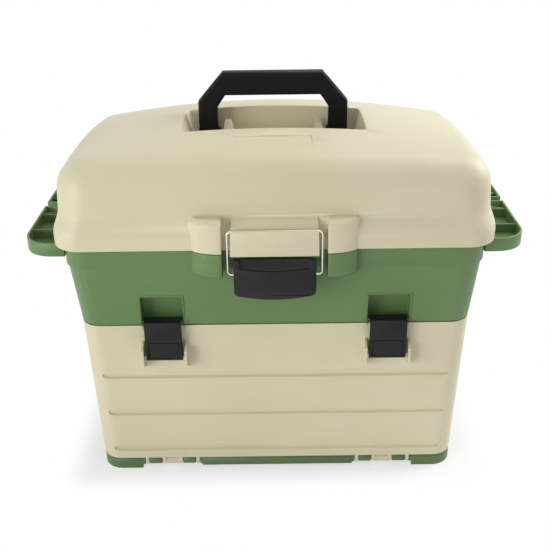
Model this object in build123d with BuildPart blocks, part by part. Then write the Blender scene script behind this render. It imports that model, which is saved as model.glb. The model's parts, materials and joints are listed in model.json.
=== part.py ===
"""A moulded tackle box: a green case with a drop front over three drawers, and a domed lid over a bin.

Millimetres. +X is to the right, -Y is the front, +Z is up. The origin lies on the floor, under the
middle of the case. The lid swings on two pins at the back, a draw latch holds it at the front, and
two snap clips hold the door.
"""
import os
from math import sqrt

from build123d import *

os.makedirs("parts", exist_ok=True)

# Clearances and moulded walls
overrun = 6.0  # how far a cut runs past the surface that it opens
run_gap = 0.3  # between pieces that move past each other
pin_gap = 0.05  # radial, between a pin and the hole that it turns in
seat_gap = 0.02  # radial, between a screw or pin and the hole that grips it
case_wall = 3.0
base_wall = 3.0
lid_wall = 3.0
lip_wall = 3.0
door_wall = 3.4
drawer_wall = 2.2
tray_wall = 2.4

# Levels and plan of the case
base_height = 13.6
chest_height = 172.4
flare_height = 66.6
band_height = 20.9
rim_height = 4.0
lip_overlap = 3.5  # how far the lid's lip hangs below the top of the rim
foot_half_width = 195.5
foot_half_depth = 120.0
chest_lean_width = 7.0
chest_lean_depth = 3.8
chest_corner = 22.0
flare_width = 7.1
flare_depth = 6.4
flare_corner = 25.0
band_proud = 1.8
rim_proud = 2.4

# Base and the door's hinge
foot_lift = 3.0
foot_length = 52.5
foot_slope = 4.0
base_rib_pitch = 65.0
base_rib_count = 5
door_hinge_level = 8.0
door_hinge_radius = 4.8
door_pin_radius = 2.0
tab_end_room = 49.7
tab_pitch = 18.93
tab_count = 4
tab_thickness = 3.7
tab_root_height = 13.0
bay_margin = 3.2
bay_clear = 2.6
knuckle_gap = 0.8

# Front door
door_gap = 0.4
door_top_gap = 1.4
groove_rise = 13.9
groove_pitch = 48.0
groove_count = 3
groove_height = 6.0
groove_depth = 1.5
groove_end_margin = 15.0
door_rib_shares = (-0.8, -0.32, 0.0, 0.32, 0.8)
door_rib_thickness = 2.4
door_rib_depth = 4.0
door_rib_drop = 6.0

# Snap clips and the ears that carry them
clip_end_room = 86.5
clip_width = 38.0
clip_pivot_proud = 5.8
clip_pivot_drop = 35.8
clip_rise = 6.0
clip_step_drop = 17.3
clip_thickness = 5.0
clip_proud = 3.8
clip_panel_depth = 1.2
clip_rail = 3.0
clip_nose = 9.0
clip_nose_height = 1.9
clip_barb = 3.6
clip_pin_radius = 1.8
ear_room = 2.2
ear_thickness = 2.5
ear_proud = 11.0
ear_drop = 52.0
ear_height = 34.0
ear_slope = 8.0

# Finger pockets in the bin above the clips, each with a catch bead on its floor
pocket_room = 2.4
pocket_height = 30.0
pocket_depth = 13.0
pocket_back_slope = 2.0
pocket_wall = 2.4
pocket_rim = 1.6
pocket_rim_proud = 0.8
bead_height = 0.6
bead_width = 1.4

# Lid
lip_room_width = 3.2
lip_room_depth = 0.6
lip_height = 16.0
lip_slope_height = 16.0
lid_setback_width = 5.5
lid_setback_depth = 6.5
lid_height = 68.3
lid_cap_clear = 12.0
lid_lean_width = 1.5
lid_lean_depth = 3.0
lid_top_corner = 42.0
crown_end_drop = 22.0
crown_front_drop = 14.3
crown_back_drop = 18.6
crown_front_corner_drop = 17.7
crown_back_corner_drop = 37.7
lid_shoulder = 32.0
lip_round = 2.2
lip_crest = 24.0
lip_cove = 24.0

# Recess for the handle, and the bare label flat in front of it
recess_end_room = 15.5
recess_end_slope = 10.0
recess_side_slope = 2.0
recess_depth = 39.3
recess_wall = 2.6
recess_clear = 3.5
recess_corner = 5.0
label_half_length = 38.0
label_setback = 20.0
label_length = 31.0
label_depth = 0.8

# Carrying handle, upright
handle_y = 18.0
handle_back_room = 18.0
handle_pivot_rise = 12.0
handle_reach = 67.5
handle_half_width = 80.5
handle_leg = 20.5
handle_grip = 24.5
handle_crown_inset = 27.1
handle_crown_drop = 31.5
handle_eye_inset = 9.0
handle_eye_drop = 13.0
handle_thickness = 16.0
handle_edge = 3.0
handle_boss_radius = 7.4
handle_dish_length = 30.0
handle_dish_width = 9.0
handle_dish_depth = 3.0
handle_pin_radius = 3.0
handle_pin_seat = 14.0
lug_thickness = 16.5
lug_draft = 5.0
lug_gap = 2.5
lug_radius = 12.0
lug_rise = 27.0

# Guard pads beside the latch, whose outline starts at the front and takes a quarter of an oval
pad_start_angle = 270.0
pad_arc_angle = 90.0
pad_room = 5.5
pad_length = 31.5
pad_proud = 10.0
pad_drop = 27.0
pad_rise = 34.0
pad_gap = 0.6
pad_bevel = 4.0

# Catch tongue on the lid
tongue_half_width = 42.0
tongue_proud = 13.0
tongue_drop = 1.0
tongue_height = 26.0
tongue_draft = 1.2
tongue_slant = 0.6
tongue_shelf_rise = 1.0
tongue_shelf = 3.0
tongue_ramp_rise = 8.0
tongue_wall = 3.0

# Draw latch: lever, pin and wire bail
lever_inset = 1.8
lever_pivot_proud = 7.0
lever_pivot_drop = 10.0
lever_top_gap = 3.5
lever_length = 38.0
lever_corner_rise = 6.0
lever_corner = 6.0
lever_face_top = 5.2
lever_face_bulge = 8.6
lever_face_bottom = 4.6
lever_plate = 3.4
lever_hub = 4.0
lever_cheek = 7.0
lever_pocket_margin = 6.2
lever_pocket_side_drop = 8.5
lever_pocket_drop = 11.8
lever_pocket_depth = 2.0
lever_pin_radius = 1.75
lever_pin_inset = 1.5
lever_lug_inner = 21.0
lever_lug_thickness = 7.0
lever_lug_gap = 0.5
lever_lug_radius = 4.0
lever_lug_root = 13.0
bail_room = 4.0
bail_wire_radius = 1.3
bail_drop = 12.0
bail_hook = 2.0
bail_bend = 4.0
bail_end_depth = 5.5
bail_boss = 4.0
bail_notch_gap = 0.9

# Lid hinge at the back
lid_hinge_proud = 7.0
lid_hinge_drop = 1.5
lid_hinge_end_room = 100.0
lid_hinge_half_span = 31.0
lid_knuckle_half = 11.6
lid_knuckle_gap = 0.5
lid_hinge_radius = 6.2
lid_pin_radius = 2.5
lid_web_height = 13.0
hinge_gusset_drop = 28.0

# Side grips at the rim
grip_width = 43.1
grip_height = 14.2
grip_half_length = 113.0
grip_corner = 30.0
grip_gap_half = 5.6
grip_wall = 2.3
grip_floor = 2.4
grip_rib_shares = (0.23, 0.615)
grip_rib = 2.0
grip_rib_drop = 2.0
grip_slot_length = 20.0
grip_slot_width = 6.0
grip_slot_margin = 8.0
grip_screw_place = 47.0
grip_boss_radius = 4.5
grip_boss_length = 9.0

# Screws
screw_radius = 1.6
screw_hole_gap = 0.3
screw_head_radius = 3.6
screw_head_height = 2.2
screw_length = 16.0
grip_screw_length = 11.0
chest_boss_radius = 5.0
chest_boss_height = 30.0
chest_boss_margin = 15.0

# Drawers behind the door
drawer_count = 3
drawer_head_room = 5.0
drawer_floor_rise = 4.4
drawer_side_gap = 9.5
drawer_front_gap = 13.0
drawer_back_gap = 9.0
drawer_corner = 5.0
drawer_notch_half_length = 35.0
drawer_notch_depth = 13.0
runner_reach = 7.0
runner_thickness = 3.0
divider_pitch = 92.0
divider_count = 3
divider_thickness = 2.0
divider_drop = 6.0
divider_guide = 2.0
divider_guide_reach = 3.0

# Lift-out tray in the bin
tray_floor_room = 2.6
tray_head_room = 22.0
tray_gap_low = 16.5
tray_gap_high = 14.3
tray_corner = 20.0
tray_rim_height = 3.0
tray_cross_pitch = 130.0
tray_cross_count = 2
tray_slot_half_length = 40.0
tray_slot_height = 14.0
tray_slot_drop = 5.0
tray_rest_place = 150.0
tray_rest_thickness = 6.0
tray_rest_depth = 22.0

# Places that follow from the sizes above
chest_top = base_height + chest_height
band_bottom = chest_top + flare_height
rim_bottom = band_bottom + band_height
rim_top = rim_bottom + rim_height
seam_level = rim_top - lip_overlap
lid_ledge = rim_top + run_gap
chest_half_width = foot_half_width + chest_lean_width
chest_half_depth = foot_half_depth + chest_lean_depth
flare_half_width = chest_half_width + flare_width
flare_half_depth = chest_half_depth + flare_depth
band_half_width = flare_half_width + band_proud
band_half_depth = flare_half_depth + band_proud
bin_floor_top = chest_top + case_wall
door_back = foot_half_depth - chest_corner
door_low = base_height + door_gap
door_high = chest_top - door_top_gap
nose_radius = base_height - door_hinge_level
door_hinge_y = nose_radius - foot_half_depth
tab_first = foot_half_width - tab_end_room - tab_pitch * (tab_count - 1)
tab_places = [tab_first + tab_pitch * i for i in range(tab_count)]
bay_inner = tab_places[0] - tab_thickness / 2 - bay_margin
bay_outer = tab_places[-1] + tab_thickness / 2 + bay_margin
bay_back = door_hinge_y + door_hinge_radius + bay_clear
lip_half_width = band_half_width + rim_proud + lip_room_width + lip_wall
lip_half_depth = band_half_depth + rim_proud + lip_room_depth + lip_wall
lip_corner = flare_corner + band_proud + rim_proud + lip_room_depth
lid_half_width = lip_half_width - lid_setback_width
lid_half_depth = lip_half_depth - lid_setback_depth
lip_band_top = seam_level + lip_height
lid_foot = lip_band_top + lip_slope_height
lid_crown = lid_foot + lid_height
recess_half_length = handle_half_width + recess_end_room
recess_floor = lid_crown - recess_depth
recess_front = handle_y - handle_reach - recess_clear
recess_back = handle_y + handle_back_room
recess_middle = (recess_front + recess_back) / 2
recess_half_depth = (recess_back - recess_front) / 2
handle_pivot_level = recess_floor + handle_pivot_rise
handle_top = handle_pivot_level + handle_reach
lug_outer = handle_half_width - handle_leg - lug_gap
lug_inner = lug_outer - lug_thickness
bail_half_width = tongue_half_width + bail_room
lever_half_width = tongue_half_width - lever_inset
pad_inner = bail_half_width + pad_room
pad_front = -lip_half_depth - pad_proud
tongue_front = -lip_half_depth - tongue_proud
tongue_bottom = seam_level - tongue_drop
tongue_top = tongue_bottom + tongue_height
lever_pivot_y = -lip_half_depth - lever_pivot_proud
lever_pivot_level = seam_level - lever_pivot_drop
lever_top = tongue_bottom - lever_top_gap
lever_bottom = lever_pivot_level - lever_length
bail_pivot_level = lever_pivot_level - bail_drop
bail_top = tongue_top - bail_hook
lid_hinge_y = lip_half_depth + lid_hinge_proud
lid_hinge_level = seam_level - lid_hinge_drop
lid_hinge_place = lip_half_width - lid_hinge_end_room
pocket_width = clip_width + 2 * pocket_room
ear_span = clip_width + 2 * ear_room
clip_centre = chest_half_width - clip_end_room
clip_top = chest_top + clip_rise
clip_pivot_level = chest_top - clip_pivot_drop
boss_x = foot_half_width + chest_lean_width - case_wall - chest_boss_radius
boss_places = (-door_back + chest_boss_margin, chest_half_depth - case_wall - chest_boss_margin)
grip_top = rim_bottom - run_gap
grip_bottom = grip_top - grip_height
grip_screw_level = (grip_top + grip_bottom) / 2
drawer_pitch = (chest_height - drawer_floor_rise - runner_thickness) / drawer_count
drawer_height = drawer_pitch - drawer_head_room
drawer_half_width = foot_half_width - drawer_side_gap
drawer_front = drawer_front_gap - foot_half_depth
drawer_back = foot_half_depth - drawer_back_gap
drawer_floors = [base_height + drawer_floor_rise + drawer_pitch * i for i in range(drawer_count)]
tray_bottom = bin_floor_top + pocket_height + pocket_wall + tray_floor_room
tray_top = rim_top - tray_head_room


def centred(count, pitch):
    """Places on a line at one pitch, with their middle at zero."""
    return [pitch * (i - (count - 1) / 2) for i in range(count)]


def plan_between(level, low_level, low, high_level, high, inset):
    """Half width, half depth and corner radius at a level between two plans, less an inset."""
    share = (level - low_level) / (high_level - low_level)
    return tuple(a + (b - a) * share - inset for a, b in zip(low, high))


def chest_plan(level, inset=0.0):
    """Plan of the chest's leaning outside at a level."""
    low = (foot_half_width, foot_half_depth, chest_corner)
    high = (chest_half_width, chest_half_depth, chest_corner)
    return plan_between(level, base_height, low, chest_top, high, inset)


def bin_plan(level, inset=0.0):
    """Plan of the bin's flared outside at a level."""
    low = (chest_half_width, chest_half_depth, chest_corner)
    high = (flare_half_width, flare_half_depth, flare_corner)
    return plan_between(level, chest_top, low, band_bottom, high, inset)


def tray_plan(level, inset=0.0):
    """Plan of the lift-out tray's outside at a level."""
    low = (*bin_plan(tray_bottom, tray_gap_low)[:2], tray_corner)
    high = (*bin_plan(tray_top, tray_gap_high)[:2], tray_corner)
    return plan_between(level, tray_bottom, low, tray_top, high, inset)


def form(z_low, low, z_high, high, y=0.0, mode=Mode.ADD):
    """A drafted block between two rounded rectangles, each a half width, half depth and corner."""
    sections = []
    for level, (half_width, half_depth, corner) in ((z_low, low), (z_high, high)):
        with BuildSketch(Plane.XY.offset(level)) as section:
            with Locations((0, y)):
                RectangleRounded(2 * half_width, 2 * half_depth, corner)
        sections.append(section.sketch)
    loft(sections, ruled=True, mode=mode)


def slab(z_low, z_high, plan, y=0.0, mode=Mode.ADD):
    """An upright block on one rounded rectangle."""
    half_width, half_depth, corner = plan
    with BuildSketch(Plane.XY.offset(z_low)) as outline:
        with Locations((0, y)):
            RectangleRounded(2 * half_width, 2 * half_depth, corner)
    extrude(outline.sketch, amount=z_high - z_low, mode=mode)


def block(x, y, z, mode=Mode.ADD):
    """A box between two values on each axis."""
    with Locations(tuple((a + b) / 2 for a, b in (x, y, z))):
        Box(abs(x[1] - x[0]), abs(y[1] - y[0]), abs(z[1] - z[0]), mode=mode)


def side_prism(points, x_first, x_second, mode=Mode.ADD):
    """A polygon of (y, z) points carried along X."""
    with BuildSketch(Plane.YZ.offset(min(x_first, x_second))) as outline:
        with BuildLine():
            Polyline(*points, close=True)
        make_face()
    extrude(outline.sketch, amount=abs(x_second - x_first), mode=mode)


def front_prism(points, y_low, y_high, mode=Mode.ADD):
    """A polygon of (x, z) points carried along Y."""
    with BuildSketch(Plane.XZ.offset(-y_high)) as outline:
        with BuildLine():
            Polyline(*points, close=True)
        make_face()
    extrude(outline.sketch, amount=y_high - y_low, mode=mode)


def rod(x_first, x_second, y, z, radius, mode=Mode.ADD):
    """A round bar along X."""
    with BuildSketch(Plane.YZ.offset(min(x_first, x_second))) as outline:
        with Locations((y, z)):
            Circle(radius)
    extrude(outline.sketch, amount=abs(x_second - x_first), mode=mode)


def guard_pads(z_low, z_high, heel, bevel_end):
    """The two quarter-oval pads beside the latch, with one end bevelled: -1 is the lower, 1 the upper."""
    bulge = -band_half_depth - pad_front
    with BuildPart() as pads:
        for side in (-1, 1):
            with BuildSketch(Plane.XY.offset(z_low)) as outline:
                with BuildLine():
                    centre = (side * pad_inner, -band_half_depth)
                    turn = pad_arc_angle * side
                    oval = EllipticalCenterArc(
                        centre, pad_length, bulge, start_angle=pad_start_angle, arc_size=turn
                    )
                    tip = side * (pad_inner + pad_length)
                    Polyline(oval @ 1, (tip, heel), (side * pad_inner, heel), oval @ 0)
                make_face()
            extrude(outline.sketch, amount=z_high - z_low)
        ovals = pads.edges().filter_by(GeomType.ELLIPSE)
        chamfer(ovals.sort_by(Axis.Z, reverse=bevel_end > 0)[:2], pad_bevel)
    return pads.part


def keep(piece, name):
    """Label a finished piece and write it to its own file."""
    piece.label = name
    export_step(piece, f"parts/{name}.step")


# Lower chest: base, back and side walls, runner ledges, screw bosses and the door's hinge bays
with BuildPart() as lower_chest:
    form(base_height, chest_plan(base_height), chest_top, chest_plan(chest_top))
    inside = (chest_plan(base_height, case_wall), chest_plan(chest_top, case_wall))
    form(base_height, inside[0], chest_top, inside[1], mode=Mode.SUBTRACT)
    split(bisect_by=Plane.XZ.offset(door_back - door_gap), keep=Keep.BOTTOM)
    slab(0, base_height, (foot_half_width, foot_half_depth, chest_corner))
    with BuildSketch(Plane.YZ.offset(-foot_half_width)) as nose:
        with BuildLine():
            Polyline(
                (door_hinge_y, base_height),
                (-foot_half_depth - overrun, base_height),
                (-foot_half_depth - overrun, door_hinge_level),
                (door_hinge_y, door_hinge_level),
                close=True,
            )
        make_face()
        with Locations((door_hinge_y, door_hinge_level)):
            Circle(nose_radius, mode=Mode.SUBTRACT)
    extrude(nose.sketch, amount=2 * foot_half_width, mode=Mode.SUBTRACT)
    hollow = (foot_half_width - base_wall, foot_half_depth - base_wall, chest_corner - base_wall)
    slab(-overrun, base_height - base_wall, hollow, mode=Mode.SUBTRACT)
    for rib_x in centred(base_rib_count, base_rib_pitch):
        rib = (rib_x - base_wall / 2, rib_x + base_wall / 2)
        block(rib, (bay_back, foot_half_depth - base_wall / 2), (foot_lift, base_height - base_wall / 2))
    foot_end = foot_half_width - foot_length
    relief = [
        (-foot_end, -overrun),
        (-foot_end, 0),
        (foot_slope - foot_end, foot_lift),
        (foot_end - foot_slope, foot_lift),
        (foot_end, 0),
        (foot_end, -overrun),
    ]
    front_prism(relief, -foot_half_depth - overrun, bay_back, mode=Mode.SUBTRACT)
    for side in (-1, 1):
        walls = (side * (bay_inner - base_wall), side * (bay_outer + base_wall))
        wall_y = (base_wall - foot_half_depth, bay_back + base_wall)
        block(walls, wall_y, (foot_lift, base_height - base_wall / 2))
        bay = (side * bay_inner, side * bay_outer)
        bay_y = (-foot_half_depth - overrun, bay_back)
        block(bay, bay_y, (-overrun, base_height + overrun), mode=Mode.SUBTRACT)
        for first in range(0, len(tab_places), 2):
            low = side * (tab_places[first] + tab_thickness / 2 + knuckle_gap)
            high = side * (tab_places[first + 1] - tab_thickness / 2 - knuckle_gap)
            rod(low, high, door_hinge_y, door_hinge_level, door_hinge_radius)
            root = (door_hinge_level - door_hinge_radius, base_height)
            block((low, high), (door_hinge_y + door_hinge_radius / 2, bay_back + base_wall / 2), root)
        rod(*walls, door_hinge_y, door_hinge_level, door_pin_radius + seat_gap, mode=Mode.SUBTRACT)
    for floor in drawer_floors:
        low = base_height - base_wall / 2 if floor == drawer_floors[0] else floor - runner_thickness
        for side in (-1, 1):
            ledge = (side * (drawer_half_width - runner_reach), side * (chest_plan(floor)[0] - case_wall / 2))
            block(ledge, (-door_back + door_gap, chest_plan(floor)[1] - chest_corner), (low, floor))
    for x in (-boss_x, boss_x):
        for y in boss_places:
            with Locations((x, y, chest_top - chest_boss_height / 2)):
                Cylinder(chest_boss_radius, chest_boss_height)
            with Locations((x, y, chest_top - screw_length / 2)):
                Cylinder(screw_radius + seat_gap, screw_length, mode=Mode.SUBTRACT)
keep(lower_chest.part, "lower_chest")

# Upper bin: a flared open box with a rim band, finger pockets, guard pads and hinge lugs
bin_pad_heel = case_wall / 2 - flare_half_depth
bin_pads = guard_pads(seam_level - pad_drop, seam_level - pad_gap / 2, bin_pad_heel, -1)
with BuildPart() as upper_bin:
    form(chest_top, bin_plan(chest_top), band_bottom, bin_plan(band_bottom))
    slab(band_bottom, rim_bottom, bin_plan(band_bottom, -band_proud))
    slab(rim_bottom, rim_top, bin_plan(band_bottom, -band_proud - rim_proud))
    add(bin_pads)
    inside = (bin_plan(bin_floor_top, case_wall), bin_plan(band_bottom, case_wall))
    form(bin_floor_top, inside[0], band_bottom, inside[1], mode=Mode.SUBTRACT)
    slab(band_bottom, rim_top + overrun, inside[1], mode=Mode.SUBTRACT)
    pocket_top = bin_floor_top + pocket_height
    pocket_back = pocket_depth - chest_half_depth
    for side in (-1, 1):
        pocket = (side * clip_centre - pocket_width / 2, side * clip_centre + pocket_width / 2)
        shell = [
            (case_wall / 2 - chest_half_depth, chest_top + case_wall / 2),
            (pocket_back + pocket_wall, chest_top + case_wall / 2),
            (pocket_back - pocket_back_slope + pocket_wall, pocket_top + pocket_wall),
            (case_wall / 2 - bin_plan(pocket_top)[1], pocket_top + pocket_wall),
        ]
        side_prism(shell, pocket[0] - pocket_wall, pocket[1] + pocket_wall)
        rim_high = pocket_top + pocket_rim
        rim = [
            (case_wall / 2 - bin_plan(bin_floor_top)[1], bin_floor_top),
            (-pocket_rim_proud - bin_plan(bin_floor_top)[1], bin_floor_top),
            (-pocket_rim_proud - bin_plan(rim_high)[1], rim_high),
            (case_wall / 2 - bin_plan(rim_high)[1], rim_high),
        ]
        side_prism(rim, pocket[0] - pocket_rim, pocket[1] + pocket_rim)
        cavity = [
            (-band_half_depth - overrun, bin_floor_top),
            (pocket_back, bin_floor_top),
            (pocket_back - pocket_back_slope, pocket_top),
            (-band_half_depth - overrun, pocket_top),
        ]
        side_prism(cavity, *pocket, mode=Mode.SUBTRACT)
        bead_front = -bin_plan(bin_floor_top)[1]
        bead = (bin_floor_top - case_wall / 2, bin_floor_top + bead_height)
        block(pocket, (bead_front, bead_front + bead_width), bead)
        lug = (side * lever_lug_inner, side * (lever_lug_inner + lever_lug_thickness))
        rod(*lug, lever_pivot_y, lever_pivot_level, lever_lug_radius)
        web = [
            (lever_pivot_y, lever_pivot_level),
            (case_wall / 2 - band_half_depth, lever_pivot_level),
            (case_wall / 2 - band_half_depth, lever_pivot_level - lever_lug_root),
            (lever_pivot_y, lever_pivot_level - lever_lug_radius),
        ]
        side_prism(web, *lug)
        rod(*lug, lever_pivot_y, lever_pivot_level, lever_pin_radius + pin_gap, mode=Mode.SUBTRACT)
        for end in (-1, 1):
            near = side * lid_hinge_place + end * (lid_knuckle_half + lid_knuckle_gap)
            far = side * lid_hinge_place + end * lid_hinge_half_span
            rod(near, far, lid_hinge_y, lid_hinge_level, lid_hinge_radius)
            slant = lid_hinge_radius / sqrt(2)
            gusset = [
                (flare_half_depth - case_wall / 2, lid_hinge_level - hinge_gusset_drop),
                (lid_hinge_y + slant, lid_hinge_level - slant),
                (lid_hinge_y, lid_hinge_level),
                (band_half_depth - case_wall / 2, lid_hinge_level),
            ]
            side_prism(gusset, near, far)
            rod(near, far, lid_hinge_y, lid_hinge_level, lid_pin_radius + seat_gap, mode=Mode.SUBTRACT)
            rest_x = [side * tray_rest_place + half * tray_rest_thickness / 2 for half in (-1, 1)]
            wall_y = bin_plan(bin_floor_top)[1] - case_wall / 2
            rest_y = (end * wall_y, end * (wall_y - tray_rest_depth))
            block(rest_x, rest_y, (bin_floor_top - case_wall / 2, tray_bottom))
            hole_x = (side * (flare_half_width - case_wall - overrun), side * (band_half_width + overrun))
            hole = screw_radius + screw_hole_gap
            rod(*hole_x, end * grip_screw_place, grip_screw_level, hole, mode=Mode.SUBTRACT)
        for y in boss_places:
            with Locations((side * boss_x, y, chest_top + case_wall / 2)):
                Cylinder(screw_radius + screw_hole_gap, case_wall, mode=Mode.SUBTRACT)
keep(upper_bin.part, "upper_bin")

# Screws that hold the bin down on the chest, from inside the bin
with BuildPart() as bin_screws:
    for x in (-boss_x, boss_x):
        for y in boss_places:
            with Locations((x, y, bin_floor_top + screw_head_height / 2)):
                Cylinder(screw_head_radius, screw_head_height)
            with Locations((x, y, bin_floor_top - screw_length / 2)):
                Cylinder(screw_radius, screw_length)
keep(bin_screws.part, "bin_screws")


# Side grips: wing handles of open cells, screwed to the rim band
def grip_half(side, end, level, inset):
    """Plan of half a wing handle, drawn in by an inset, with one round outer corner."""
    near = side * (band_half_width + inset)
    far = side * (band_half_width + grip_width - inset)
    tip = end * (grip_half_length - inset)
    gap = end * (grip_gap_half + inset)
    bend = grip_corner - inset
    with BuildSketch(Plane.XY.offset(level)) as outline:
        with BuildLine():
            Polyline((near, tip), (near, gap), (far, gap), (far, tip - end * bend))
            RadiusArc((far, tip - end * bend), (far - side * bend, tip), -side * end * bend)
            Line((far - side * bend, tip), (near, tip))
        make_face()
    return outline.sketch


for grip_name, side in (("side_grip_left", -1), ("side_grip_right", 1)):
    near = side * (band_half_width + grip_wall / 2)
    far = side * (band_half_width + grip_width - grip_wall / 2)
    with BuildPart() as side_grip:
        for end in (-1, 1):
            extrude(grip_half(side, end, grip_bottom, 0), amount=grip_height)
            cells = grip_half(side, end, grip_bottom + grip_floor, grip_wall)
            extrude(cells, amount=grip_height, mode=Mode.SUBTRACT)
            rib_z = (grip_bottom + grip_floor / 2, grip_top - grip_rib_drop)
            for share in grip_rib_shares:
                rib_y = end * share * grip_half_length
                block((near, far), (rib_y - grip_rib / 2, rib_y + grip_rib / 2), rib_z)
            brace_y = (end * (grip_gap_half + grip_wall / 2), end * grip_rib_shares[0] * grip_half_length)
            with BuildSketch(Plane.XY.offset(rib_z[0])) as brace:
                with BuildLine():
                    Polyline(
                        (near, brace_y[0]),
                        (near, brace_y[0] + end * grip_rib),
                        (far, brace_y[1]),
                        (far, brace_y[1] - end * grip_rib),
                        close=True,
                    )
                make_face()
            extrude(brace.sketch, amount=rib_z[1] - rib_z[0])
            slot_x = [side * (band_half_width + grip_slot_margin + run) for run in (0, grip_slot_length)]
            slot_y = [end * (grip_half_length - grip_slot_margin - run) for run in (0, grip_slot_width)]
            slot_z = (grip_bottom - overrun, grip_bottom + grip_floor + overrun)
            block(slot_x, slot_y, slot_z, mode=Mode.SUBTRACT)
            boss_end = side * (band_half_width + grip_boss_length)
            rod(side * band_half_width, boss_end, end * grip_screw_place, grip_screw_level, grip_boss_radius)
        root = (side * band_half_width, side * (band_half_width + grip_wall))
        block(root, (-grip_gap_half - grip_wall, grip_gap_half + grip_wall), (grip_bottom, grip_top))
        for end in (-1, 1):
            hole_y = end * grip_screw_place
            hole = screw_radius + seat_gap
            rod(side * band_half_width, boss_end, hole_y, grip_screw_level, hole, mode=Mode.SUBTRACT)
    keep(side_grip.part, grip_name)

# Screws from inside the bin into the grips
with BuildPart() as grip_screws:
    seat = flare_half_width - case_wall
    for side in (-1, 1):
        for y in (-grip_screw_place, grip_screw_place):
            rod(side * (seat - screw_head_height), side * seat, y, grip_screw_level, screw_head_radius)
            rod(side * seat, side * (seat + grip_screw_length), y, grip_screw_level, screw_radius)
keep(grip_screws.part, "grip_screws")


# Lid: a lip, a leaning skirt and a crown curved both ways
def lid_plan(inset):
    """Plan of the lid where it stands on its lip."""
    return (lid_half_width - inset, lid_half_depth - inset, lip_corner - inset)


def lip_plan(inset):
    """Plan of the lid's lip."""
    return (lip_half_width - inset, lip_half_depth - inset, lip_corner - inset)


def recess_plan(level, inset=0.0):
    """Plan of the handle's recess at a level: long slanted ends and steep sides."""
    low = (recess_half_length - recess_end_slope, recess_half_depth - recess_side_slope, recess_corner)
    high = (recess_half_length, recess_half_depth, recess_corner)
    return plan_between(level, recess_floor, low, lid_crown, high, inset)


def crown_level(x, y):
    """Height of the crown: a smooth fall from its top through the drops named for its edges and corners."""
    ends = (x / lid_half_width) ** 2
    run = y / lid_half_depth
    front = crown_front_drop + (crown_front_corner_drop - crown_front_drop) * ends
    back = crown_back_drop + (crown_back_corner_drop - crown_back_drop) * ends
    middle = crown_end_drop * ends
    fall = front * run * (run - 1) / 2 + middle * (1 - run**2) + back * run * (run + 1) / 2
    return lid_crown - fall


def middle_pull(first, middle, last):
    """Height of a curve's middle control point, so that the curve passes through its middle level."""
    return 2 * middle - (first + last) / 2


def crown_face(inset):
    """The crown as a curved face, a little larger than the lid and lowered by an inset."""
    half_width = lid_half_width + overrun
    half_depth = lid_half_depth + overrun
    steps = (-1, 0, 1)
    heights = [[crown_level(half_width * i, half_depth * j) - inset for j in steps] for i in steps]
    rows = [[row[0], middle_pull(*row), row[2]] for row in heights]
    rows[1] = [middle_pull(*column) for column in zip(*rows)]
    net = [[(half_width * i, half_depth * j, z) for j, z in zip(steps, row)] for i, row in zip(steps, rows)]
    return Face.make_bezier_surface(net)


def lid_dome(inset):
    """The lid above its lip: an almost upright block cut by the crown, with a round shoulder."""
    half_width, half_depth, corner = lid_plan(inset)
    lean = (half_width - lid_lean_width, half_depth - lid_lean_depth, lid_top_corner - inset)
    with BuildPart() as dome:
        form(lid_foot, (half_width, half_depth, corner), lid_crown + lid_cap_clear, lean)
        extrude(crown_face(inset), amount=2 * lid_height, dir=(0, 0, -1), mode=Mode.INTERSECT)
        fillet(dome.faces().sort_by(Axis.Z)[-1].edges(), lid_shoulder - inset)
    return dome.part


lid_outside = lid_dome(0)
lid_inside = lid_dome(lid_wall)

lid_pad_heel = lid_wall / 2 - lid_half_depth
lid_pads = guard_pads(seam_level + pad_gap / 2, seam_level + pad_rise, lid_pad_heel, 1)

with BuildPart() as recess_tub:
    tub_low = recess_floor - recess_wall
    tub_top = recess_plan(lid_crown, -recess_wall)
    form(tub_low, recess_plan(recess_floor, -recess_wall), lid_crown, tub_top, y=recess_middle)
    add(lid_outside, mode=Mode.INTERSECT)

with BuildPart() as handle_lugs:
    for side in (-1, 1):
        lug = (side * lug_inner, side * lug_outer)
        lug_y = (handle_y - lug_radius, handle_y + lug_radius)
        lug_low = recess_floor - recess_wall / 2
        lug_high = recess_floor + lug_rise
        block(lug, lug_y, (lug_low, lug_high - lug_radius))
        rod(*lug, handle_y, lug_high - lug_radius, lug_radius)
        for face, slope in ((lug_inner, lug_draft), (lug_outer, -lug_draft)):
            wedge = [(side * face, lug_low), (side * (face + slope), lug_high), (side * face, lug_high)]
            front_prism(wedge, *lug_y, mode=Mode.SUBTRACT)

notch = [lever_pivot_y + end * (bail_wire_radius + bail_notch_gap) for end in (-1, 1)]
notch_floor = bail_top - bail_wire_radius - run_gap
with BuildPart() as tongue:
    tongue_root = lid_wall / 2 - lid_half_depth
    shelf_level = tongue_top + tongue_shelf_rise
    ramp_level = shelf_level + tongue_ramp_rise
    tongue_side = [
        (tongue_front, tongue_bottom),
        (tongue_root, tongue_bottom),
        (tongue_root, ramp_level),
        (notch[1] + tongue_shelf, shelf_level),
        (notch[1], shelf_level),
        (notch[1], notch_floor),
        (notch[0], notch_floor),
        (notch[0], tongue_top),
        (tongue_front + tongue_slant, tongue_top),
    ]
    tongue_foot = tongue_half_width + tongue_draft
    side_prism(tongue_side, -tongue_foot, tongue_foot)
    tongue_view = [(tongue_foot, tongue_bottom), (tongue_half_width, ramp_level)]
    tongue_view += [(-x, z) for x, z in reversed(tongue_view)]
    front_prism(tongue_view, tongue_front, tongue_root, mode=Mode.INTERSECT)

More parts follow.
